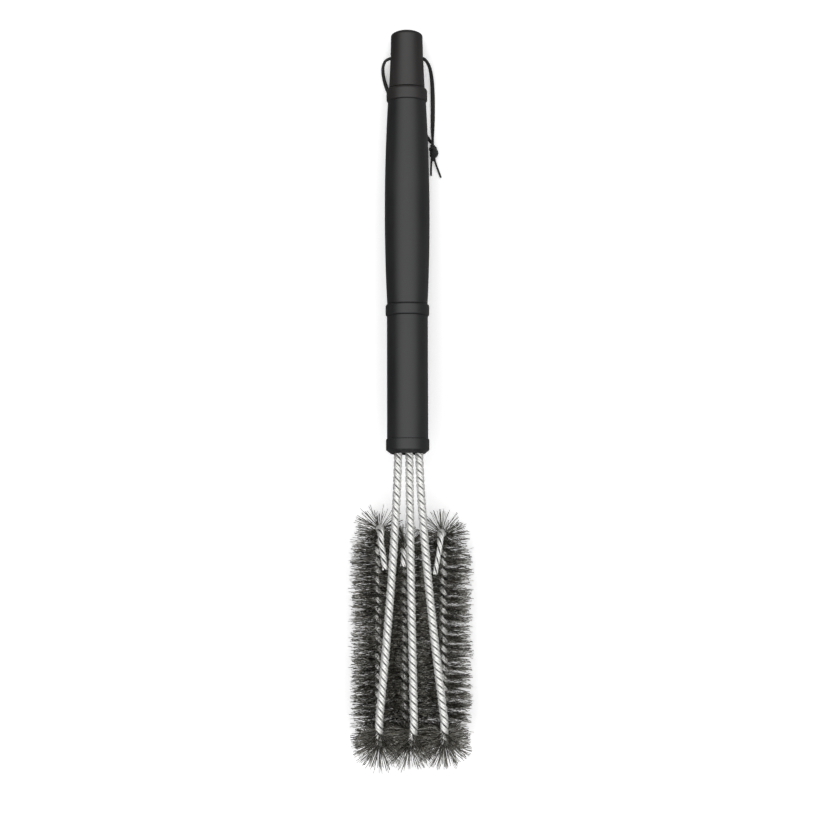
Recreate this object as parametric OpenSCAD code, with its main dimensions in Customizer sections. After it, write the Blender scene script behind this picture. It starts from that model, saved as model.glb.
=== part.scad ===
// Grill cleaning brush. A round handle carries three brushes of twisted wire.
// Each wire leaves the nose of the handle as a bare stem, turns back at the far end,
// holds its bristles along the return, and hooks up so that its tail ends beside its stem.
// The brush lies on its bristles: +Y runs towards the end cap, +X across the head, +Z up,
// and z = 0 is the surface under it. Distances called "along" run down the handle's own
// axis from the tip of the end cap.

/* [Handle] */
// Slope of the handle's axis as the brush lies on a surface, in degrees
handle_tilt = 5; // [4.5:0.25:5.5]
// Radius of the end cap at its domed end
cap_tip_r = 9.8; // [9:0.1:10.2]
// Radius of the end cap where it meets the cap ring
cap_base_r = 11.05; // [10.5:0.05:11.5]
// Length of the end cap
cap_length = 36.2; // [35:0.1:37]
// Radius of the ring between the end cap and the grip
cap_ring_r = 12.6; // [12:0.1:12.7]
// Largest radius of the grip
grip_r = 13.8; // [13:0.1:14.5]
// Radius of the ring between the grip and the front sleeve
middle_ring_r = 13.4; // [13:0.1:14]
// Outer radius of the front sleeve
sleeve_r = 12.55; // [12:0.05:13]
// Outer radius of the front collar
collar_r = 13.25; // [13:0.05:14]
// Length of the whole handle
handle_length = 262.6; // [258:0.2:264]
// Radius of the hole across the end cap that takes the hanging cord
cord_hole_r = 2.2; // [2:0.1:2.6]

/* [Head] */
// Height of the bristled core above the surface
core_height = 17; // [16.8:0.1:17.2]
// Distance along the handle's axis at which the stems start to turn back
stem_end = 423.5; // [420:0.5:426]
// Radius of the bend at the near end of each brush
near_bend_r = 8.5; // [8:0.1:9]
// Place of the left brush's near bend's centre on the Y axis
near_bend_y = -89.5; // [-92:0.5:-86]
// Radius over the bristles along the straight cores
bristle_r = 17; // [16.5:0.1:17]
// Radius over the bristles on the two bends
tuft_r = 14.6; // [13:0.1:14.6]
// Length of the plain tail after the near bend of the two outer brushes
tail_length = 17; // [12:0.5:18]
// Length of the middle brush's tail
short_tail_length = 4; // [2:0.5:6]

/* [Wire] */
// Radius over the strands of one twisted wire
wire_r = 2.65; // [2.4:0.05:2.7]
// Length in which the strands turn once round the wire
wire_pitch = 9.3; // [9:0.1:10]

/* [Cord] */
// Width of the flat hanging cord
cord_width = 2.8; // [2.6:0.1:3]
// Thickness of the flat hanging cord
cord_thickness = 1.4; // [1.2:0.1:1.5]

/* [Hidden] */
$fn = 96;

// Ends of the handle's pieces, as distances along the axis
ring_start = 36.4;
grip_start = 45;
grip_widest = 113;
grip_end = 170.8;
sleeve_start = 178.4;
collar_start = 253.6;
dome_height = 3.8;
cord_hole_along = 17;

// The tube and the plug inside the handle
tube_r = 8;
tube_inner_r = 6.8;
tube_start = 22.2;
tube_end = 232;
plug_r = 10;
plug_start = 236;
plug_end = 260.6;
wire_start = 240;
fit_gap = 0.1;
mouth_r = 9.9;

// The handle's end point, placed so that the cap's rim and the cap ring just meet the surface
cap_end_y = 226.2;
cap_end_z = 9.45;

// Where each wire runs across the head, from the handle's axis, in the order that it passes:
// nose, top and foot of the far bend, foot and top of the near bend, tip of the tail
LEFT = [-5.9, -17.5, -18.1, -18.1, -16.4, -13.7];
MIDDLE = [1, 3.4, -2.6, -2.6, -2.4, -3];
RIGHT = [7, 21.7, 21.7, 21.5, 19.5, 16.3];
handle_x = -(RIGHT[2] + LEFT[2]) / 2;
// How much shorter than the left brush the other two are
middle_short = 11;
right_short = 3;
stem_spread = 1.4;
tail_slope = 5;
pack_gap = 0.4;
outside = 60;

// The far bend, in the plane of Y and Z
far_bend_r = (on_axis(stem_end)[2] - core_height) / (1 + cos(handle_tilt));
far_bend_y = on_axis(stem_end)[1] - far_bend_r * sin(handle_tilt);
far_bend_z = core_height + far_bend_r;
near_bend_z = core_height + near_bend_r;

// The wire's four strands lie in two pairs: the valleys between pairs are the deeper ones
ring_gap = wire_pitch / 6;
strands = 4;
pair_valley_r = 0.82 * wire_r;
gap_valley_r = 0.62 * wire_r;
bore_gap = 0.15;

// The hanging cord's route: from the middle of the hole across the cap to the knot
CORD_LEFT = [
    [-1.8, 209.3, 10.9], [-8, 209.3, 10.9], [-12.5, 208.8, 10.4], [-15.5, 207, 8.8], [-16.7, 202.5, 6],
    [-15.7, 196, 2.8], [-13.5, 190, 1.1], [-9.2, 183.5, 0.75], [-3.2, 176.5, 0.75], [3.8, 169.5, 0.75],
    [9.5, 163, 0.75], [12.5, 159, 0.9], [14.1, 156.5, 1.3]
];
CORD_RIGHT = [
    [-1.8, 209.3, 10.9], [4.8, 209.3, 10.9], [9.2, 208.3, 10.5], [12.2, 204, 8.2], [13.7, 196.5, 4.2],
    [14.2, 188, 1.5], [14.3, 179.5, 0.8], [14.2, 171, 0.8], [14.1, 165, 1.6], [14.1, 161, 2.8],
    [14.2, 156.5, 3.6]
];
TAIL_INNER = [[13.4, 147, 2], [13.2, 144.5, 1.1], [13.1, 141, 0.8], [13.1, 137.5, 0.8]];
TAIL_OUTER = [[15.4, 147, 3.4], [16.1, 144.5, 2.2], [17.5, 140.8, 0.9], [19.2, 136.2, 0.8]];
KNOT = [14.5, 151.75, 3];
knot_length = 9.5;
knot_r = 3;
knot_end_r = 2.5;

// A point on the handle's axis
function on_axis(along) = [
    handle_x,
    cap_end_y - along * cos(handle_tilt),
    cap_end_z + along * sin(handle_tilt)
];

// The quarter circle that rounds an outline's corner, from angle a to angle b
function arc(centre, r, a, b) = [
    for (i = [0:8]) centre + r * [cos(a + (b - a) * i / 8), sin(a + (b - a) * i / 8)]
];

// The radius of the grip, which swells towards its middle
function grip_radius(along) =
    along < grip_widest
        ? grip_r - 2.05 * pow((grip_widest - along) / (grip_widest - grip_start), 1.9)
        : grip_r - 1.4 * pow((along - grip_widest) / (grip_end - grip_widest), 2.1);

// Where a brush's near bend has its centre, on the Y axis, and how long its tail is
function near_y(x) = near_bend_y - (x == MIDDLE ? middle_short : x == RIGHT ? right_short : 0);
function tail_of(x) = x == MIDDLE ? short_tail_length : tail_length;

// How far across a bend has moved after t of its turn, from one end to the other
function cross_over(from, to, t) = from + (to - from) * (1 - cos(180 * t)) / 2;

// The centre line of one wire, from inside the plug to the tip of its tail
function stem_x(x, t) = x[0] + (x[1] - x[0]) * pow(t, stem_spread);
function stem_line(x) = [
    for (along = [wire_start:ring_gap:stem_end])
        let (t = max(0, (along - handle_length) / (stem_end - handle_length)))
        on_axis(along) + [stem_x(x, t), 0, 0]
];
function far_bend_line(x) = [
    for (a = [0:6:180 + handle_tilt])
        [
            handle_x + cross_over(x[1], x[2], a / (180 + handle_tilt)),
            far_bend_y - far_bend_r * sin(a - handle_tilt),
            far_bend_z + far_bend_r * cos(a - handle_tilt)
        ]
];
function core_line(x) =
    let (rings = ceil((near_y(x) - far_bend_y) / ring_gap))
    [
        for (i = [0:rings])
            [
                handle_x + x[2] + (x[3] - x[2]) * i / rings,
                far_bend_y + (near_y(x) - far_bend_y) * i / rings,
                core_height
            ]
    ];
function near_bend_line(x) = [
    for (a = [10:10:174 - tail_slope])
        [
            handle_x + cross_over(x[3], x[4], a / (180 - tail_slope)),
            near_y(x) + near_bend_r * sin(a),
            near_bend_z - near_bend_r * cos(a)
        ]
];
function tail_line(x) =
    let (rings = ceil(tail_of(x) / ring_gap))
    [
        for (i = [0:rings])
            let (run = tail_of(x) * i / rings)
            [
                handle_x + x[4] + (x[5] - x[4]) * i / rings,
                near_y(x) + near_bend_r * sin(tail_slope) - run * cos(tail_slope),
                near_bend_z + near_bend_r * cos(tail_slope) + run * sin(tail_slope)
            ]
    ];
function wire_line(x) =
    concat(stem_line(x), far_bend_line(x), core_line(x), near_bend_line(x), tail_line(x));

// The distance run along a line of points, at each of its points
function run_along(p) = [
    for (i = 0, run = 0; i < len(p); i = i + 1, run = run + norm(p[min(i, len(p) - 1)] - p[i - 1]))
        run
];
function unit(v) = v / norm(v);
function heading(p, i) = unit(p[min(i + 1, len(p) - 1)] - p[max(i - 1, 0)]);

// A smooth curve through a list of points, with a number of steps between each two
function bend_point(a, b, c, d, t) = 0.5 * (
    2 * b + (c - a) * t + (2 * a - 5 * b + 4 * c - d) * t * t + (3 * b - a - 3 * c + d) * t * t * t
);
function smooth(p, steps) = concat(
    [
        for (i = [0:len(p) - 2], k = [0:steps - 1])
            bend_point(p[max(i - 1, 0)], p[i], p[i + 1], p[min(i + 2, len(p) - 1)], k / steps)
    ],
    [p[len(p) - 1]]
);

// The skin round a stack of rings that have the same number of points, with flat ends
module skin(rings) {
    n = len(rings[0]);
    last = len(rings) - 1;
    polyhedron(
        [for (ring = rings) each ring],
        concat(
            [[for (j = [0:n - 1]) j]],
            [
                for (i = [0:last - 1], j = [0:n - 1], half = [0, 1])
                    let (a = i * n + j, b = i * n + (j + 1) % n)
                    half == 0 ? [a, a + n, b] : [b, a + n, b + n]
            ],
            [[for (j = [n - 1:-1:0]) last * n + j]]
        )
    );
}

// A wire whose strands stand out as ridges that wind round its centre line
module twisted_wire(line) {
    run = run_along(line);
    skin([
        for (i = [0:len(line) - 1])
            let (
                t = heading(line, i),
                u = unit([1, 0, 0] - t[0] * t),
                v = cross(t, u),
                turn = -360 * run[i] / wire_pitch
            )
            [
                for (j = [0:2 * strands - 1])
                    let (
                        a = turn - 180 * j / strands,
                        r = j % 2 == 0 ? wire_r : j % 4 == 1 ? pair_valley_r : gap_valley_r
                    )
                    line[i] + r * (cos(a) * u + sin(a) * v)
            ]
    ]);
}

// A flat cord with rounded edges, laid along a line
module flat_cord(line) {
    skin([
        for (i = [0:len(line) - 1])
            let (t = heading(line, i), u = unit(cross(t, [0, 0, 1])), v = cross(t, u))
            [
                for (j = [0:7])
                    let (a = -22.5 - 45 * j)
                    line[i]
                        + cord_width / 2 * cos(a) / cos(22.5) * u
                        + cord_thickness / 2 * sin(a) / cos(22.5) * v
            ]
    ]);
}

// Puts a piece that is drawn up the Z axis on the handle's axis
module on_handle() {
    translate(on_axis(0)) rotate([90 - handle_tilt, 0, 0]) children();
}

// A round piece of the handle, from its outline as [radius, along]
module turned(outline) {
    on_handle() rotate_extrude() polygon(outline);
}

// A band round the handle with rounded edges and a hole through it
module band(start, end, r, hole_r, start_round, end_round) {
    turned(concat(
        [[hole_r, start]],
        arc([r - start_round, start + start_round], start_round, -90, 0),
        arc([r - end_round, end - end_round], end_round, 0, 90),
        [[hole_r, end]]
    ));
}

// A straight round bar between two points
module bar(from, to, r) {
    way = to - from;
    translate(from)
        rotate([0, acos(way[2] / norm(way)), atan2(way[1], way[0])])
            cylinder(h = norm(way), r = r);
}

// The bristles along one straight core: a cylinder with the wire's hole, cut flat where it
// meets its neighbours. low and high are the limits across the head, at the far and near end.
module bristle_pack(x, low, high) {
    far = [handle_x + x[2], far_bend_y, core_height];
    near = [handle_x + x[3], near_y(x), core_height];
    past = unit(near - far);
    intersection() {
        difference() {
            bar(far - past, near + past, bristle_r);
            bar(far - 2 * past, near + 2 * past, wire_r + bore_gap);
        }
        linear_extrude(height = 2 * bristle_r + 1)
            polygon([
                [handle_x + low[0], far_bend_y], [handle_x + high[0], far_bend_y],
                [handle_x + high[1], near_y(x)], [handle_x + low[1], near_y(x)]
            ]);
    }
}

// The bristles round a bend of the wire: part of a ring that leans across the head with the
// bend. Its outline is the bristles' circle round the wire, cut at the bend's axis, and the
// ring is cut flat where it meets its neighbours.
module tuft(centre, bend_r, lean, from_angle, sweep, low, high) {
    intersection() {
        translate(centre)
            rotate([0, lean, 0])
                rotate([from_angle, 0, 0])
                    rotate([0, 90, 0])
                        rotate_extrude(angle = sweep)
                            difference() {
                                intersection() {
                                    translate([bend_r, 0]) circle(r = tuft_r);
                                    translate([0.05, -outside]) square(2 * outside);
                                }
                                translate([bend_r, 0]) circle(r = wire_r + bore_gap);
                            }
        translate([handle_x + low, centre[1] - outside, 0])
            cube([high - low, 2 * outside, 2 * outside]);
    }
}

// Half of the way between two brushes, less half of the gap, across the head
function limit(a, b, side) = (a + b) / 2 - side * pack_gap / 2;
function low_limits(x, below) = [limit(x[2], below[2], -1), limit(x[3], below[3], -1)];
function high_limits(x, above) = [limit(x[2], above[2], 1), limit(x[3], above[3], 1)];

// How a bend leans, from where its foot and its top are across the head
function lean_of(foot, top, bend_r) = atan((top - foot) / (2 * bend_r));

module far_tuft(x, low, high) {
    tuft(
        [handle_x + (x[1] + x[2]) / 2, far_bend_y, far_bend_z],
        far_bend_r, lean_of(x[2], x[1], far_bend_r),
        -180 - handle_tilt, 180 + handle_tilt, low[0], high[0]
    );
}

module near_tuft(x, low, high) {
    tuft(
        [handle_x + (x[3] + x[4]) / 2, near_y(x), near_bend_z],
        near_bend_r, lean_of(x[3], x[4], near_bend_r),
        0, 90, low[1], high[1]
    );
}

module end_cap() {
    dome = [for (a = [0:7.5:90]) [cap_tip_r * sin(a), dome_height * (1 - cos(a))]];
    flare = [
        for (t = [0.1:0.15:1])
            [
                cap_tip_r + (cap_base_r - cap_tip_r) * pow(t, 1.5),
                dome_height + (cap_length - dome_height) * t
            ]
    ];
    color("#3a3837")
        difference() {
            turned(concat(
                dome, flare,
                [
                    [tube_r + fit_gap, cap_length],
                    [tube_r + fit_gap, tube_start - 0.2],
                    [0, tube_start - 0.2]
                ]
            ));
            translate(on_axis(cord_hole_along) - [outside / 2, 0, 0])
                rotate([0, 90, 0])
                    cylinder(h = outside, r = cord_hole_r);
        }
}

module cap_ring() {
    color("#3c3a39") band(ring_start, grip_start - 0.1, cap_ring_r, tube_r + fit_gap, 2.2, 1.2);
}

module grip() {
    steps = 24;
    color("#2c2d2e")
        turned(concat(
            [[tube_r + fit_gap, grip_start]],
            [
                for (i = [0:steps])
                    let (along = grip_start + (grip_end - grip_start) * i / steps)
                    [grip_radius(along), along]
            ],
            [[tube_r + fit_gap, grip_end]]
        ));
}

module middle_ring() {
    color("#2e2f30") band(grip_end + 0.1, sleeve_start - 0.1, middle_ring_r, tube_r + fit_gap, 1.4, 1.4);
}

module front_sleeve() {
    color("#2c2d2e")
        turned([
            [tube_r + fit_gap, sleeve_start], [sleeve_r, sleeve_start],
            [sleeve_r, collar_start - 0.1], [plug_r + fit_gap, collar_start - 0.1],
            [plug_r + fit_gap, tube_end], [tube_r + fit_gap, tube_end]
        ]);
}

// The collar narrows to a short cone with the mouth that the stems pass through
module front_collar() {
    color("#2e2f30")
        turned(concat(
            [[plug_r + fit_gap, collar_start]],
            arc([collar_r - 0.5, collar_start + 0.5], 0.5, -90, 0),
            arc([collar_r - 1, handle_length - 2.8], 1, 0, 60),
            [
                [mouth_r + 0.4, handle_length], [mouth_r, handle_length],
                [mouth_r, plug_end + 0.2], [plug_r + fit_gap, plug_end + 0.2]
            ]
        ));
}

module core_tube() {
    color("#8a8d90")
        turned([
            [tube_inner_r, tube_start], [tube_r, tube_start],
            [tube_r, tube_end - 0.2], [tube_inner_r, tube_end - 0.2]
        ]);
}

module wire_plug() {
    color("#1f1f20")
        difference() {
            turned([[0, plug_start], [plug_r, plug_start], [plug_r, plug_end], [0, plug_end]]);
            for (x = [LEFT, MIDDLE, RIGHT])
                translate([x[0], 0, 0])
                    on_handle()
                        translate([0, 0, wire_start - 0.3])
                            cylinder(h = outside, r = wire_r + 0.1);
        }
}

module left_wire() {
    color("#c9cbcb") twisted_wire(wire_line(LEFT));
}

module middle_wire() {
    color("#c9cbcb") twisted_wire(wire_line(MIDDLE));
}

module right_wire() {
    color("#c9cbcb") twisted_wire(wire_line(RIGHT));
}

open_low = [-outside, -outside];
open_high = [outside, outside];

module left_bristles() {
    color("#2f2e2a") bristle_pack(LEFT, open_low, high_limits(LEFT, MIDDLE));
}

module middle_bristles() {
    color("#2f2e2a") bristle_pack(MIDDLE, low_limits(MIDDLE, LEFT), high_limits(MIDDLE, RIGHT));
}

module right_bristles() {
    color("#2f2e2a") bristle_pack(RIGHT, low_limits(RIGHT, MIDDLE), open_high);
}

module left_far_tuft() {
    color("#3b382f") far_tuft(LEFT, open_low, high_limits(LEFT, MIDDLE));
}

module middle_far_tuft() {
    color("#3b382f") far_tuft(MIDDLE, low_limits(MIDDLE, LEFT), high_limits(MIDDLE, RIGHT));
}

module right_far_tuft() {
    color("#3b382f") far_tuft(RIGHT, low_limits(RIGHT, MIDDLE), open_high);
}

module left_near_tuft() {
    color("#35332d") near_tuft(LEFT, open_low, high_limits(LEFT, MIDDLE));
}

module middle_near_tuft() {
    color("#35332d") near_tuft(MIDDLE, low_limits(MIDDLE, LEFT), high_limits(MIDDLE, RIGHT));
}

module right_near_tuft() {
    color("#35332d") near_tuft(RIGHT, low_limits(RIGHT, MIDDLE), open_high);
}

module hang_cord_left() {
    color("#1c1c1d") flat_cord(smooth(CORD_LEFT, 2));
}

module hang_cord_right() {
    color("#1c1c1d") flat_cord(smooth(CORD_RIGHT, 2));
}

module cord_knot() {
    color("#1c1c1d")
        translate(KNOT - [0, knot_length / 2, 0])
            rotate([-90, 0, 0])
                rotate_extrude()
                    polygon(concat(
                        [[0, 0]],
                        [
                            for (i = [0:8])
                                [
                                    knot_end_r + (knot_r - knot_end_r) * sin(180 * i / 8),
                                    knot_length * i / 8
                                ]
                        ],
                        [[0, knot_length]]
                    ));
}

module cord_tail_inner() {
    color("#1c1c1d") flat_cord(smooth(TAIL_INNER, 2));
}

module cord_tail_outer() {
    color("#1c1c1d") flat_cord(smooth(TAIL_OUTER, 2));
}

end_cap();
cap_ring();
grip();
middle_ring();
front_sleeve();
front_collar();
core_tube();
wire_plug();
left_wire();
middle_wire();
right_wire();
left_bristles();
middle_bristles();
right_bristles();
left_far_tuft();
middle_far_tuft();
right_far_tuft();
left_near_tuft();
middle_near_tuft();
right_near_tuft();
hang_cord_left();
hang_cord_right();
cord_knot();
cord_tail_inner();
cord_tail_outer();
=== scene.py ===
import math

import bpy
import numpy as np
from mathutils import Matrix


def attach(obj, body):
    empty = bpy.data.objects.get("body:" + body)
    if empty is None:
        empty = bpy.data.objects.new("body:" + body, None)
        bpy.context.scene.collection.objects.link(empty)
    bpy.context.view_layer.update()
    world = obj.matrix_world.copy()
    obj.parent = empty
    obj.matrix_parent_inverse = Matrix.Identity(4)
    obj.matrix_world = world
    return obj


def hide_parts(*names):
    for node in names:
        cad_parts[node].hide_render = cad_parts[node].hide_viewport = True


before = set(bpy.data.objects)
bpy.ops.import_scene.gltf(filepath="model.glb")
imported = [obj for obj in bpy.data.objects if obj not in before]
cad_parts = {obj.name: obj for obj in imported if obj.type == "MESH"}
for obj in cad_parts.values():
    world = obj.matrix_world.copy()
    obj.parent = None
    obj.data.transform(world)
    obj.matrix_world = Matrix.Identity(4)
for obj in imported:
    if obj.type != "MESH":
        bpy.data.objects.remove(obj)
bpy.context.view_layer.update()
rng = np.random.default_rng(11)

SIDES = ("left", "middle", "right")
UP = np.array([0.0, 0.0, 1.0])

# The handle's axis, as in the CAD
TILT = math.radians(5)
HANDLE_X = -0.0018
CAP_END_Y = 0.2262
CAP_END_Z = 0.00945
HANDLE_LENGTH = 0.2626

# The wires, as in the CAD: where each runs across the head from the handle's axis, in the order
# that it passes: nose, top and foot of the far bend, foot and top of the near bend, tail tip
ACROSS = {
    "left": (-0.0059, -0.0175, -0.0181, -0.0181, -0.0164, -0.0137),
    "middle": (0.0010, 0.0034, -0.0026, -0.0026, -0.0024, -0.0030),
    "right": (0.0070, 0.0217, 0.0217, 0.0215, 0.0195, 0.0163),
}
NEAR_BEND_Y = {"left": -0.0895, "middle": -0.1005, "right": -0.0925}
WIRE_START = 0.240
STEM_END = 0.4235
STEM_SPREAD = 1.4
CORE_HEIGHT = 0.017
NEAR_BEND_R = 0.0085
TAIL_LENGTH = {"left": 0.017, "middle": 0.004, "right": 0.017}
TAIL_SLOPE = math.radians(5)

# The twist of a wire: four strands in two pairs, with a wide gap between the pairs, round a
# thin heart. They turn more slowly along the core. The tails thin out, each by its own share.
STRAND_ANGLES = np.radians([0, 65, 180, 245])
GAP_ANGLES = np.radians([122.5, 302.5])
STRAND_R = 0.00093
STRAND_OFFSET = 0.00172
HEART_R = 0.00098
STEM_PITCH = 0.0093
CORE_PITCH = 0.0118
TAIL_SHARE = {"left": 0.76, "middle": 0.80, "right": 0.64}
STRAND_SIDES = 12

# The bristles
BRISTLE_R = 0.000175
BRISTLES_PER_M = 25000
PACK_REACH = 0.0168
FAR_REACH = 0.0158
NEAR_REACH = 0.0142
FLOOR_CLEAR = 0.0002
BRISTLE_SIDES = 3
BRISTLE_STEPS = 6
# How far bristles stray from their row round the wire, in radians, and how far they lean
# along it, in degrees
ROW_SPREAD = math.radians(24)
LEAN_SPREAD = 6

# The hanging cord's route, as in the CAD, from the middle of the hole to the knot, and its tails
CORD_THICKNESS = 0.0012
LACE_SIDES = 16
CORD_LEFT = (
    (-0.0018, 0.2093, 0.0109), (-0.0080, 0.2093, 0.0109), (-0.0125, 0.2088, 0.0104),
    (-0.0155, 0.2070, 0.0088), (-0.0167, 0.2025, 0.0060), (-0.0157, 0.1960, 0.0028),
    (-0.0135, 0.1900, 0.0011), (-0.0092, 0.1835, 0.00075), (-0.0032, 0.1765, 0.00075),
    (0.0038, 0.1695, 0.00075), (0.0095, 0.1630, 0.00075), (0.0125, 0.1590, 0.0009),
    (0.0141, 0.1565, 0.0013),
)
CORD_RIGHT = (
    (-0.0018, 0.2093, 0.0109), (0.0048, 0.2093, 0.0109), (0.0092, 0.2083, 0.0105),
    (0.0122, 0.2040, 0.0082), (0.0137, 0.1965, 0.0042), (0.0142, 0.1880, 0.0015),
    (0.0143, 0.1795, 0.0008), (0.0142, 0.1710, 0.0008), (0.0141, 0.1650, 0.0016),
    (0.0141, 0.1610, 0.0028), (0.0142, 0.1565, 0.0036),
)
TAIL_INNER = ((0.0134, 0.1470, 0.0020), (0.0132, 0.1445, 0.0011), (0.0131, 0.1410, 0.0008),
              (0.0131, 0.1375, 0.0008))
TAIL_OUTER = ((0.0154, 0.1470, 0.0034), (0.0161, 0.1445, 0.0022), (0.0175, 0.1408, 0.0009),
              (0.0192, 0.1362, 0.0008))
KNOT_CENTRE = np.array([0.0145, 0.1512, 0.0034])
KNOT_ROUTE = (
    (0.0136, 0.1560, 0.0024), (0.0148, 0.1554, 0.0044), (0.0156, 0.1542, 0.0034),
    (0.0148, 0.1530, 0.0016), (0.0132, 0.1534, 0.0022), (0.0130, 0.1544, 0.0044),
    (0.0146, 0.1540, 0.0058), (0.0162, 0.1528, 0.0050), (0.0170, 0.1514, 0.0032),
    (0.0158, 0.1500, 0.0016), (0.0136, 0.1502, 0.0018), (0.0130, 0.1514, 0.0040),
    (0.0144, 0.1518, 0.0060), (0.0162, 0.1506, 0.0054), (0.0160, 0.1492, 0.0034),
    (0.0146, 0.1484, 0.0024), (0.0134, 0.1492, 0.0036), (0.0138, 0.1504, 0.0052),
    (0.0146, 0.1480, 0.0040), (0.0142, 0.1466, 0.0026),
)


# ---------------------------------------------------------------- camera

def look_down():
    """The camera straight above the brush, turned by a fraction of a degree."""
    camera = bpy.data.objects.new("camera", bpy.data.cameras.new("camera"))
    bpy.context.scene.collection.objects.link(camera)
    camera.location = (0.0033, -0.0123, 1.3387)
    camera.rotation_euler = (0, 0, math.radians(-0.152))
    camera.data.sensor_width = 36
    camera.data.lens = 92.86
    camera.data.clip_start = 0.05
    camera.data.clip_end = 100
    bpy.context.scene.camera = camera


# ---------------------------------------------------------------- lines and meshes

def unit(v):
    return v / np.maximum(np.linalg.norm(v, axis=-1, keepdims=True), 1e-12)


def headings(line):
    """The direction of a line, or of each of many lines, at each of its points."""
    return unit(np.gradient(line, axis=-2))


def run_along(line):
    """The distance run along a line, at each of its points."""
    return np.concatenate([[0], np.cumsum(np.linalg.norm(np.diff(line, axis=0), axis=1))])


def smooth_line(points, steps):
    """A smooth curve through points, with a number of steps between each two."""
    p = np.array(points, float)
    p = np.vstack([2 * p[0] - p[1], p, 2 * p[-1] - p[-2]])
    made = []
    for a, b, c, d in zip(p, p[1:], p[2:], p[3:]):
        for t in np.arange(steps) / steps:
            made.append(0.5 * (2 * b + (c - a) * t + (2 * a - 5 * b + 4 * c - d) * t ** 2
                               + (3 * b - a - 3 * c + d) * t ** 3))
    return np.array(made + [p[-2]])


def tubes(lines, radius, beside, sides):
    """Points and faces of a round tube along each line. lines is [tube, point, xyz], radius is
    one number or [tube, point], and beside is a direction for each tube that it never points
    along."""
    along = headings(lines)
    u = unit(np.cross(along, beside[:, None, :]))
    v = np.cross(along, u)
    angle = 2 * math.pi * np.arange(sides) / sides
    ring = np.cos(angle)[:, None] * u[:, :, None, :] + np.sin(angle)[:, None] * v[:, :, None, :]
    wide = np.broadcast_to(radius, lines.shape[:2])[:, :, None, None]
    points = lines[:, :, None, :] + wide * ring
    return points.reshape(-1, 3), tube_faces(len(lines), lines.shape[1], sides)


def tube_faces(count, steps, sides):
    """The walls and the two ends of each tube, whose points lie in rings."""
    i = np.arange(count * steps * sides).reshape(count, steps, sides)
    a, d = i[:, :-1], i[:, 1:]
    walls = np.stack([a, np.roll(a, -1, axis=2), np.roll(d, -1, axis=2), d], axis=-1)
    return walls.reshape(-1, 4).tolist() + i[:, 0, ::-1].tolist() + i[:, -1].tolist()


def new_piece(name, points, faces, material, replaced):
    """A smooth mesh that rides on the brush's one body and stands for CAD nodes."""
    mesh = bpy.data.meshes.new(name)
    mesh.from_pydata(points.tolist(), [], faces)
    mesh.polygons.foreach_set("use_smooth", [True] * len(mesh.polygons))
    mesh.materials.append(material)
    made = bpy.data.objects.new(name, mesh)
    bpy.context.scene.collection.objects.link(made)
    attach(made, "root")
    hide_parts(*replaced)
    return made


def set_values(piece, name, values):
    """A number at each of a piece's points, for its material to read."""
    attribute = piece.data.attributes.new(name, "FLOAT", "POINT")
    attribute.data.foreach_set("value", np.asarray(values, np.float32))


# ---------------------------------------------------------------- materials

def join(material, value, socket):
    """Gives a socket a value, or links another node's output to it."""
    if isinstance(value, bpy.types.NodeSocket):
        material.node_tree.links.new(value, socket)
    else:
        socket.default_value = value


def add(material, kind, values=(), **settings):
    """A new node with its settings, and with values or links for its sockets."""
    node = material.node_tree.nodes.new(kind)
    for name, value in settings.items():
        setattr(node, name, value)
    for socket, value in dict(values).items():
        join(material, value, node.inputs[socket])
    return node


def new_look(name, values):
    """A material on the Principled shader, with values for the shader's sockets."""
    material = bpy.data.materials.new(name)
    material.use_nodes = True
    for socket, value in values.items():
        material.node_tree.nodes["Principled BSDF"].inputs[socket].default_value = value
    return material


def to_shader(material, socket, value):
    join(material, value, material.node_tree.nodes["Principled BSDF"].inputs[socket])


def place(material, scale=(1, 1, 1)):
    """The place on the object, in metres, stretched by scale."""
    where = add(material, "ShaderNodeTexCoord").outputs["Object"]
    return add(material, "ShaderNodeMapping", {"Vector": where, "Scale": scale}).outputs["Vector"]


def noise(material, where, scale, detail=3.0, roughness=0.5):
    values = {"Vector": where, "Scale": scale, "Detail": detail, "Roughness": roughness}
    return add(material, "ShaderNodeTexNoise", values).outputs["Fac"]


def remap(material, value, from_low, from_high, to_low, to_high):
    values = {"Value": value, "From Min": from_low, "From Max": from_high,
              "To Min": to_low, "To Max": to_high}
    return add(material, "ShaderNodeMapRange", values).outputs["Result"]


def blend_colours(material, share, low, high):
    """The colour low where share is 0, and high where it is 1."""
    mix = add(material, "ShaderNodeMix", data_type="RGBA")
    join(material, share, mix.inputs["Factor"])
    for socket, colour in (("A", low), ("B", high)):
        join(material, colour, next(s for s in mix.inputs if s.name == socket and s.type == "RGBA"))
    return next(s for s in mix.outputs if s.type == "RGBA")


def calculate(material, operation, a, b=0.0):
    node = add(material, "ShaderNodeMath", operation=operation)
    join(material, a, node.inputs[0])
    join(material, b, node.inputs[1])
    return node.outputs[0]


def bump(material, height, strength, distance):
    values = {"Height": height, "Strength": strength, "Distance": distance}
    to_shader(material, "Normal", add(material, "ShaderNodeBump", values).outputs["Normal"])


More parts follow.
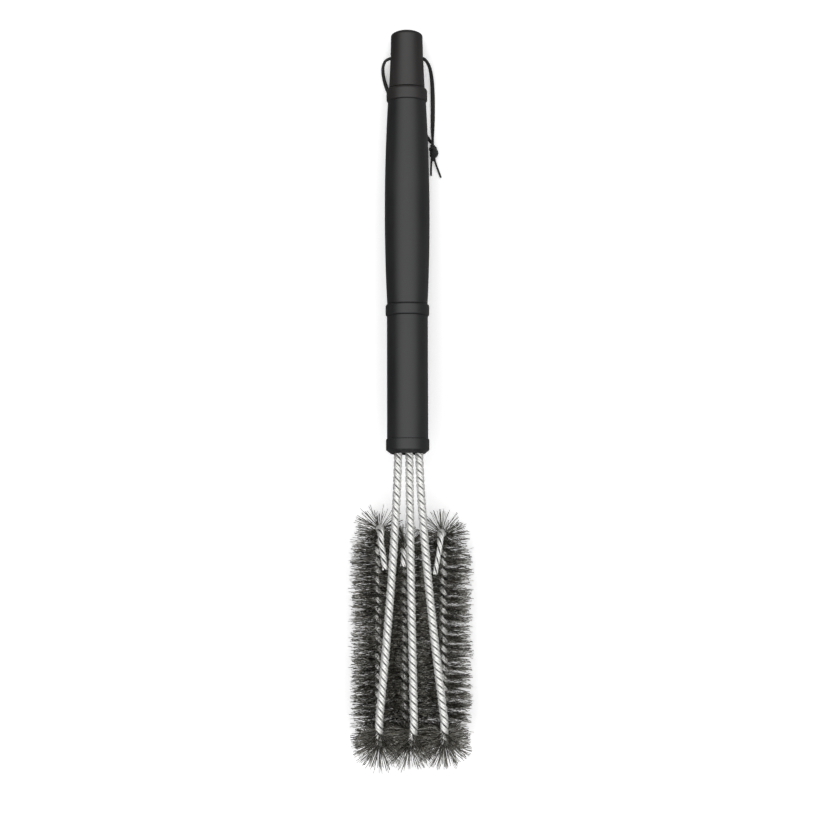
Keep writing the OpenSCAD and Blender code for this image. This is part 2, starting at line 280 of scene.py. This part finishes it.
def moulded_plastic(name, dark, light, rough):
    """Satin moulded plastic: a fine even grain, drawn faintly along the handle, with patches
    that handling has polished."""
    material = new_look(name, {"Specular IOR Level": 0.5})
    patches = noise(material, place(material, (1, 0.35, 1)), 70)
    colour = blend_colours(material, remap(material, patches, 0.35, 0.65, 0, 1), dark, light)
    to_shader(material, "Base Color", colour)
    drawn = noise(material, place(material, (1, 0.04, 1)), 900)
    shine = calculate(material, "ADD", remap(material, patches, 0.3, 0.7, rough - 0.03, rough + 0.03),
                      remap(material, drawn, 0.3, 0.7, -0.02, 0.02))
    to_shader(material, "Roughness", shine)
    grain = noise(material, place(material), 2600, 2.0)
    height = calculate(material, "ADD", grain, calculate(material, "MULTIPLY", drawn, 0.6))
    bump(material, height, 0.12, 0.00005)
    return material


def drawn_wire():
    """Bright drawn wire, with painted shade: dull and dark down in the valleys between its strands.
    """
    material = new_look("bright_wire", {"Metallic": 0.6, "Specular IOR Level": 0.5})
    rise = add(material, "ShaderNodeAttribute", attribute_name="rise").outputs["Fac"]
    out_of_painted_shade = remap(material, rise, 0.46, 0.76, 0, 1)
    speckle = noise(material, place(material), 1500, 4.0, 0.65)
    speckled_steel = blend_colours(material, remap(material, speckle, 0.35, 0.62, 0, 1),
                          (0.62, 0.62, 0.60, 1), (0.92, 0.92, 0.90, 1))
    # painted shade: the colour falls to near black in the valleys between the strands, where the
    # strands shade each other
    colour = blend_colours(material, out_of_painted_shade, (0.035, 0.034, 0.032, 1), speckled_steel)
    to_shader(material, "Base Color", colour)
    to_shader(material, "Roughness", remap(material, speckle, 0.3, 0.7, 0.30, 0.46))
    bump(material, speckle, 0.25, 0.00008)
    return material


def bristle_steel():
    """Thin steel bristles, each with its own tone, with a brown cast of heat and grease."""
    material = new_look("bristle_steel", {"Metallic": 1.0, "Specular IOR Level": 0.5})
    tone = add(material, "ShaderNodeAttribute", attribute_name="tone").outputs["Fac"]
    stain = noise(material, place(material), 420, 3.0)
    steel = blend_colours(material, tone, (0.10, 0.097, 0.085, 1), (0.86, 0.85, 0.81, 1))
    stained = blend_colours(material, tone, (0.055, 0.050, 0.036, 1), (0.50, 0.47, 0.38, 1))
    colour = blend_colours(material, remap(material, stain, 0.42, 0.60, 0, 1), steel, stained)
    to_shader(material, "Base Color", colour)
    to_shader(material, "Roughness", remap(material, stain, 0.3, 0.7, 0.26, 0.44))
    return material


def braided_cord():
    """Black braided lace: two sets of yarns that cross on the slant."""
    material = new_look("braided_cord", {"Roughness": 0.62, "Sheen Weight": 0.15,
                                         "Specular IOR Level": 0.4})
    uv = add(material, "ShaderNodeTexCoord").outputs["UV"]
    parts = add(material, "ShaderNodeSeparateXYZ", {"Vector": uv})
    around = calculate(material, "MULTIPLY", parts.outputs["X"], 8 * 2 * math.pi)
    run = calculate(material, "MULTIPLY", parts.outputs["Y"], 2 * math.pi / 0.0011)
    one = calculate(material, "SINE", calculate(material, "ADD", run, around))
    other = calculate(material, "SINE", calculate(material, "SUBTRACT", run, around))
    yarns = calculate(material, "MAXIMUM", one, other)
    fuzz = noise(material, place(material), 5000, 2.0)
    # painted shade: the colour is darker in the grooves between the yarn crests
    colour = blend_colours(material, remap(material, yarns, -0.4, 1.0, 0, 1),
                           (0.002, 0.002, 0.002, 1), (0.012, 0.012, 0.012, 1))
    to_shader(material, "Base Color", colour)
    bump(material, calculate(material, "ADD", yarns, fuzz), 0.6, 0.00012)
    return material


# ---------------------------------------------------------------- hanging cord

def lace(line, faces, width, thickness=CORD_THICKNESS):
    """Points and faces of a flat cord along a line. faces says which way its flat side looks."""
    along = headings(line)
    beside = unit(np.cross(along, faces))
    above = np.cross(beside, along)
    half = np.broadcast_to(width, len(line))[:, None, None] / 2
    angle = 2 * math.pi * np.arange(LACE_SIDES) / LACE_SIDES
    wide = np.sign(np.cos(angle)) * np.abs(np.cos(angle)) ** 0.75
    thick = np.sign(np.sin(angle)) * np.abs(np.sin(angle)) ** 0.75
    ring = (half * wide[:, None] * beside[:, None, :]
            + thickness / 2 * thick[:, None] * above[:, None, :])
    return (line[:, None, :] + ring).reshape(-1, 3), tube_faces(1, len(line), LACE_SIDES)


def rolled_up(line, turns):
    """The way that a cord's flat side looks: up, rolled about the cord by an angle in degrees
    that changes evenly from each of turns to the next."""
    along = headings(line)
    beside = unit(np.cross(along, UP))
    up = np.cross(beside, along)
    run = run_along(line)
    roll = np.radians(np.interp(run / run[-1], np.linspace(0, 1, len(turns)), turns))[:, None]
    return up * np.cos(roll) + beside * np.sin(roll)


def wrap_uv(piece, steps, run):
    """Texture coordinates of a lace: round it in the first, and metres along it in the second."""
    layer = piece.data.uv_layers.new(name="UVMap")
    points = np.zeros(len(piece.data.loops), np.int32)
    piece.data.loops.foreach_get("vertex_index", points)
    ring = np.minimum(points // LACE_SIDES, steps - 1)
    uv = np.stack([(points % LACE_SIDES) / LACE_SIDES, run[ring]], axis=1)
    first = uv[0 : 4 * (steps - 1) * LACE_SIDES].reshape(-1, 4, 2)
    first[:, 1:3, 0] = np.where(first[:, 1:3, 0] == 0, 1, first[:, 1:3, 0])
    layer.data.foreach_set("uv", uv.astype(np.float32).ravel())


def cord_piece(name, line, turns, widths, material, replaced):
    run = run_along(line)
    width = np.interp(run / run[-1], np.linspace(0, 1, len(widths)), widths)
    points, faces = lace(line, rolled_up(line, turns), width)
    made = new_piece(name, points, faces, material, replaced)
    wrap_uv(made, len(line), run)
    return made


def hanging_cord():
    """The lace runs from its knot through the hole across the cap and back. It is made as two
    cords that meet in the hole, each with its own cut end beyond the knot."""
    material = braided_cord()
    route = smooth_line(KNOT_ROUTE, 8)
    points, faces = lace(route, unit(route - KNOT_CENTRE), 0.0026, 0.0014)
    knot = new_piece("cord_knot_wraps", points, faces, material, ["cord_knot"])
    wrap_uv(knot, len(route), run_along(route))
    widths = (0.0022, 0.0024, 0.0026, 0.0027, 0.0027, 0.0024, 0.0015, 0.0012)
    halves = (
        ("cord_left", CORD_LEFT + TAIL_INNER, (0, 50, 40, 0, 0, 10, 70, 85), "left", "inner"),
        ("cord_right", CORD_RIGHT + TAIL_OUTER, (0, 55, 25, 0, 5, 60, 80, 80), "right", "outer"),
    )
    for name, points, turns, side, tail in halves:
        line = smooth_line(points, 7)
        replaced = [f"hang_cord_{side}", f"cord_tail_{tail}"]
        half = cord_piece(name, line, turns, widths, material, replaced)


# ---------------------------------------------------------------- twisted wires

def on_axis(along):
    """A point on the handle's axis, by its distance from the tip of the end cap."""
    return np.array([HANDLE_X, CAP_END_Y - along * math.cos(TILT),
                     CAP_END_Z + along * math.sin(TILT)])


def cross_over(start, end, share):
    """How far across a bend has moved after a share of its turn."""
    return start + (end - start) * (1 - math.cos(math.pi * share)) / 2


class Wire:
    """The centre line of one wire, from inside the plug to the tip of its tail, and the frame
    that its strands turn in."""

    def __init__(self, side):
        nose, far_top, far_foot, near_foot, near_top, tip = ACROSS[side]
        near_y = NEAR_BEND_Y[side]
        stem_tip = on_axis(STEM_END)
        far_r = (stem_tip[2] - CORE_HEIGHT) / (1 + math.cos(TILT))
        far_y = stem_tip[1] - far_r * math.sin(TILT)
        far_z = CORE_HEIGHT + far_r
        near_z = CORE_HEIGHT + NEAR_BEND_R
        tail_start = np.array([HANDLE_X + near_top, near_y + NEAR_BEND_R * math.sin(TAIL_SLOPE),
                               near_z + NEAR_BEND_R * math.cos(TAIL_SLOPE)])
        tail_length = TAIL_LENGTH[side]
        tail_way = np.array([(tip - near_top) / tail_length, -math.cos(TAIL_SLOPE),
                             math.sin(TAIL_SLOPE)])
        stem = []
        for along in np.arange(WIRE_START, STEM_END, 0.001):
            t = max(0.0, (along - HANDLE_LENGTH) / (STEM_END - HANDLE_LENGTH))
            across = nose + (far_top - nose) * t ** STEM_SPREAD
            stem.append(on_axis(along) + [across, 0, 0])
        far = []
        for share in np.arange(0, 1, 1 / 48):
            angle = share * (math.pi + TILT) - TILT
            far.append([HANDLE_X + cross_over(far_top, far_foot, share),
                        far_y - far_r * math.sin(angle), far_z + far_r * math.cos(angle)])
        core = []
        for share in np.arange(0, 1, 1 / 110):
            core.append([HANDLE_X + far_foot + (near_foot - far_foot) * share,
                         far_y + (near_y - far_y) * share, CORE_HEIGHT])
        near = []
        for share in np.arange(0, 1, 1 / 30):
            angle = share * (math.pi - TAIL_SLOPE)
            near.append([HANDLE_X + cross_over(near_foot, near_top, share),
                         near_y + NEAR_BEND_R * math.sin(angle),
                         near_z - NEAR_BEND_R * math.cos(angle)])
        tail = [tail_start + tail_way * t for t in np.linspace(0, tail_length, 18)]
        self.line = np.array(stem + far + core + near + tail)
        self.run = run_along(self.line)
        ends = np.cumsum([len(stem), len(far), len(core), len(near)])
        self.far_start, self.core_start, self.near_start, self.tail_start = self.run[ends]
        self.along = headings(self.line)
        self.u = unit(np.array([1.0, 0, 0]) - self.along[:, :1] * self.along)
        self.v = np.cross(self.along, self.u)
        pitch = np.interp(self.run, [self.far_start, self.core_start], [STEM_PITCH, CORE_PITCH])
        steps = np.diff(self.run, prepend=0)
        self.turn = -2 * math.pi * np.cumsum(steps / pitch)
        thinning = self.near_start + 0.5 * (self.tail_start - self.near_start), self.tail_start
        self.share = np.interp(self.run, thinning, (1.0, TAIL_SHARE[side]))

    def at(self, run, values):
        """Values of the line's points, read at places between them."""
        return np.stack([np.interp(run, self.run, values[:, k]) for k in range(3)], axis=1)


def wire_piece(side, wire, material):
    """The strands twisted round the heart. Each point knows how far it rises from the wire's
    middle, which the wire's material reads to paint shade in the valleys."""
    strands = [wire.line]
    for start in STRAND_ANGLES:
        angle = (wire.turn + start)[:, None]
        way = np.cos(angle) * wire.u + np.sin(angle) * wire.v
        strands.append(wire.line + STRAND_OFFSET * wire.share[:, None] * way)
    radius = np.full((len(strands), len(wire.line)), STRAND_R)
    radius[0] = HEART_R
    beside = np.tile([1.0, 0.0, 0.0], (len(strands), 1))
    points, faces = tubes(np.array(strands), radius * wire.share, beside, STRAND_SIDES)
    made = new_piece(f"{side}_twisted_wire", points, faces, material, [f"{side}_wire"])
    middle = np.tile(np.repeat(wire.line, STRAND_SIDES, axis=0), (len(strands), 1))
    full = np.tile(np.repeat(wire.share, STRAND_SIDES), len(strands)) * (STRAND_OFFSET + STRAND_R)
    set_values(made, "rise", np.linalg.norm(points - middle, axis=1) / full)
    return made


# ---------------------------------------------------------------- bristles

def bristle_lines(wire, start, end, reach, unevenness, inward, thick):
    """Bristles that leave one stretch of a wire at its wide gaps, as [bristle, point, xyz].
    inward is the reach of those that point to the middle of a bend, as a share of the rest's,
    and thick is how close they stand, as a share of the straight pack's."""
    count = int((end - start) * BRISTLES_PER_M * thick)
    run = rng.uniform(start, end, count)
    root, along = wire.at(run, wire.line), unit(wire.at(run, wire.along))
    u = unit(wire.at(run, wire.u))
    v = np.cross(along, u)
    angle = np.interp(run, wire.run, wire.turn) + rng.choice(GAP_ANGLES, count)
    angle = (angle + rng.normal(0, ROW_SPREAD, count))[:, None]
    way = np.cos(angle) * u + np.sin(angle) * v
    lean = np.radians(rng.normal(0, LEAN_SPREAD, count))[:, None]
    way = unit(way * np.cos(lean) + along * np.sin(lean))
    other = np.cross(way, along)

    turning = wire.at(run, np.gradient(wire.along, wire.run, axis=0))
    bend = np.linalg.norm(turning, axis=1)
    pointing_in = np.where(bend > 10, (way * turning).sum(axis=1) / np.maximum(bend, 1e-9), 0)
    shorter = 1 - (1 - inward) * np.clip(pointing_in * 1.6, 0, 1)
    length = (reach + rng.normal(0, unevenness, count)) * shorter
    length = np.minimum(length, reach + 2 * unevenness)[:, None, None]

    t = np.linspace(0, 1, BRISTLE_STEPS + 1)[None, :, None]
    bow = rng.normal(0, 0.055, (count, 2))
    wave = rng.uniform(0.00004, 0.00022, count)[:, None, None]
    phase = rng.uniform(0, 2 * math.pi, (count, 1, 1))
    ripple = wave * np.sin(phase + t * length / 0.0052 * 2 * math.pi) * t ** 0.5
    sag = (bow[:, :1, None] * along[:, None, :] + bow[:, 1:, None] * other[:, None, :])
    lines = (root[:, None, :] + way[:, None, :] * t * length + sag * t ** 2 * length
             + ripple * along[:, None, :])
    clear = FLOOR_CLEAR + rng.uniform(0, 0.0006, (count, 1)) * t[:, :, 0]
    lines[:, :, 2] = np.maximum(lines[:, :, 2], clear)
    return lines, along


def bristle_piece(name, lines, along, brightness, material, replaced):
    """The bristles of one stretch as one mesh. Each has its own tone, scaled by brightness."""
    points, faces = tubes(lines, BRISTLE_R, along, BRISTLE_SIDES)
    made = new_piece(name, points, faces, material, replaced)
    tone = brightness * rng.beta(0.9, 1.5, len(lines))
    set_values(made, "tone", np.repeat(tone, lines.shape[1] * BRISTLE_SIDES))
    return made


def bristles(side, wire, material):
    """The straight pack, the tuft round the far bend and the tuft round the near bend. The middle
    wire's near tuft runs further round its bend than the others'."""
    far_from = wire.far_start + 0.12 * (wire.core_start - wire.far_start)
    near_share = 0.75 if side == "middle" else 0.50
    near_to = wire.near_start + near_share * (wire.tail_start - wire.near_start)
    stretches = (
        ("bristles", wire.core_start, wire.near_start, PACK_REACH, 0.0011, 1.0, 1.0, 1.0),
        ("far_tuft", far_from, wire.core_start, FAR_REACH, 0.0013, 0.80, 0.75, 0.8),
        ("near_tuft", wire.near_start, near_to, NEAR_REACH, 0.0015, 0.6, 0.95, 0.4),
    )
    for part, start, end, reach, unevenness, inward, thick, tone in stretches:
        lines, along = bristle_lines(wire, start, end, reach, unevenness, inward, thick)
        bristle_piece(f"{side}_{part}_steel", lines, along, tone, material, [f"{side}_{part}"])


# ---------------------------------------------------------------- handle and studio

def finish_handle():
    charcoal = moulded_plastic("charcoal_plastic", (0.0105, 0.0112, 0.0118, 1),
                               (0.0145, 0.0150, 0.0155, 1), 0.36)
    cap = moulded_plastic("cap_plastic", (0.0150, 0.0135, 0.0130, 1),
                          (0.0195, 0.0175, 0.0170, 1), 0.40)
    plug = moulded_plastic("plug_plastic", (0.0050, 0.0050, 0.0050, 1),
                           (0.0090, 0.0090, 0.0090, 1), 0.55)
    tube = drawn_tube()
    looks = {
        "end_cap": cap, "cap_ring": cap, "grip": charcoal, "middle_ring": charcoal,
        "front_sleeve": charcoal, "front_collar": charcoal, "wire_plug": plug, "core_tube": tube,
    }
    for node, look in looks.items():
        for material_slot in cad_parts[node].material_slots:
            material_slot.material = look


def drawn_tube():
    """The plain metal tube inside the handle, with lengthwise draw marks."""
    material = new_look("drawn_tube", {"Metallic": 1.0})
    marks = noise(material, place(material, (1, 0.03, 1)), 1800)
    to_shader(material, "Base Color", blend_colours(material, marks, (0.24, 0.24, 0.25, 1),
                                                    (0.42, 0.42, 0.43, 1)))
    to_shader(material, "Roughness", remap(material, marks, 0.3, 0.7, 0.28, 0.5))
    bump(material, marks, 0.15, 0.00005)
    return material


FLOOR_R = 6
BACKDROP_R = 5.9


def studio():
    """A white floor and backdrop that the camera sees, under a soft dome of light that is open
    above and dark towards the horizon."""
    white = new_look("studio_white", {"Roughness": 1.0, "Specular IOR Level": 0.0,
                                      "Emission Color": (1, 1, 1, 1), "Emission Strength": 0.27})
    patch = noise(white, place(white), 3.0)
    to_shader(white, "Base Color", blend_colours(white, patch, (0.90, 0.90, 0.90, 1),
                                                 (0.92, 0.92, 0.92, 1)))
    bpy.ops.mesh.primitive_circle_add(vertices=64, radius=FLOOR_R, fill_type="NGON")
    floor = bpy.context.object
    floor.name = "floor"
    floor.data.materials.append(white)
    floor.visible_glossy = False

    glow = bpy.data.materials.new("backdrop_white")
    glow.use_nodes = True
    glow.node_tree.nodes.remove(glow.node_tree.nodes["Principled BSDF"])
    shine = add(glow, "ShaderNodeEmission", {"Color": (1, 1, 1, 1), "Strength": 1.0})
    glow.node_tree.links.new(shine.outputs[0], glow.node_tree.nodes["Material Output"].inputs[0])
    bpy.ops.mesh.primitive_uv_sphere_add(segments=48, ring_count=24, radius=BACKDROP_R)
    backdrop = bpy.context.object
    backdrop.name = "backdrop"
    backdrop.data.materials.append(glow)
    backdrop.visible_glossy = False
    backdrop.visible_diffuse = False
    backdrop.visible_shadow = False

    world = bpy.data.worlds.new("studio")
    world.use_nodes = True
    bpy.context.scene.world = world
    way = add(world, "ShaderNodeTexCoord").outputs["Generated"]
    parts = add(world, "ShaderNodeSeparateXYZ", {"Vector": way})
    height = add(world, "ShaderNodeMapRange", {"Value": parts.outputs["Z"], "From Min": 0.22,
                                               "From Max": 0.95, "To Min": 0.0, "To Max": 1.0},
                 interpolation_type="SMOOTHSTEP").outputs["Result"]
    below = add(world, "ShaderNodeMapRange", {"Value": parts.outputs["X"], "From Min": -1.0,
                                              "From Max": 1.0, "To Min": 0.07, "To Max": 0.22})
    above = add(world, "ShaderNodeMapRange", {"Value": parts.outputs["X"], "From Min": -1.0,
                                              "From Max": 1.0, "To Min": 1.90, "To Max": 1.52})
    level = add(world, "ShaderNodeMix", data_type="FLOAT")
    join(world, height, level.inputs["Factor"])
    join(world, below.outputs["Result"], level.inputs["A"])
    join(world, above.outputs["Result"], level.inputs["B"])
    background = world.node_tree.nodes["Background"]
    background.inputs["Color"].default_value = (1, 1, 1, 1)
    join(world, level.outputs["Result"], background.inputs["Strength"])
    bpy.context.scene.view_settings.view_transform = "Standard"


look_down()
hanging_cord()
finish_handle()
wire_look = drawn_wire()
bristle_look = bristle_steel()
for side in SIDES:
    wire = Wire(side)
    wire_piece(side, wire, wire_look)
    bristles(side, wire, bristle_look)
studio()
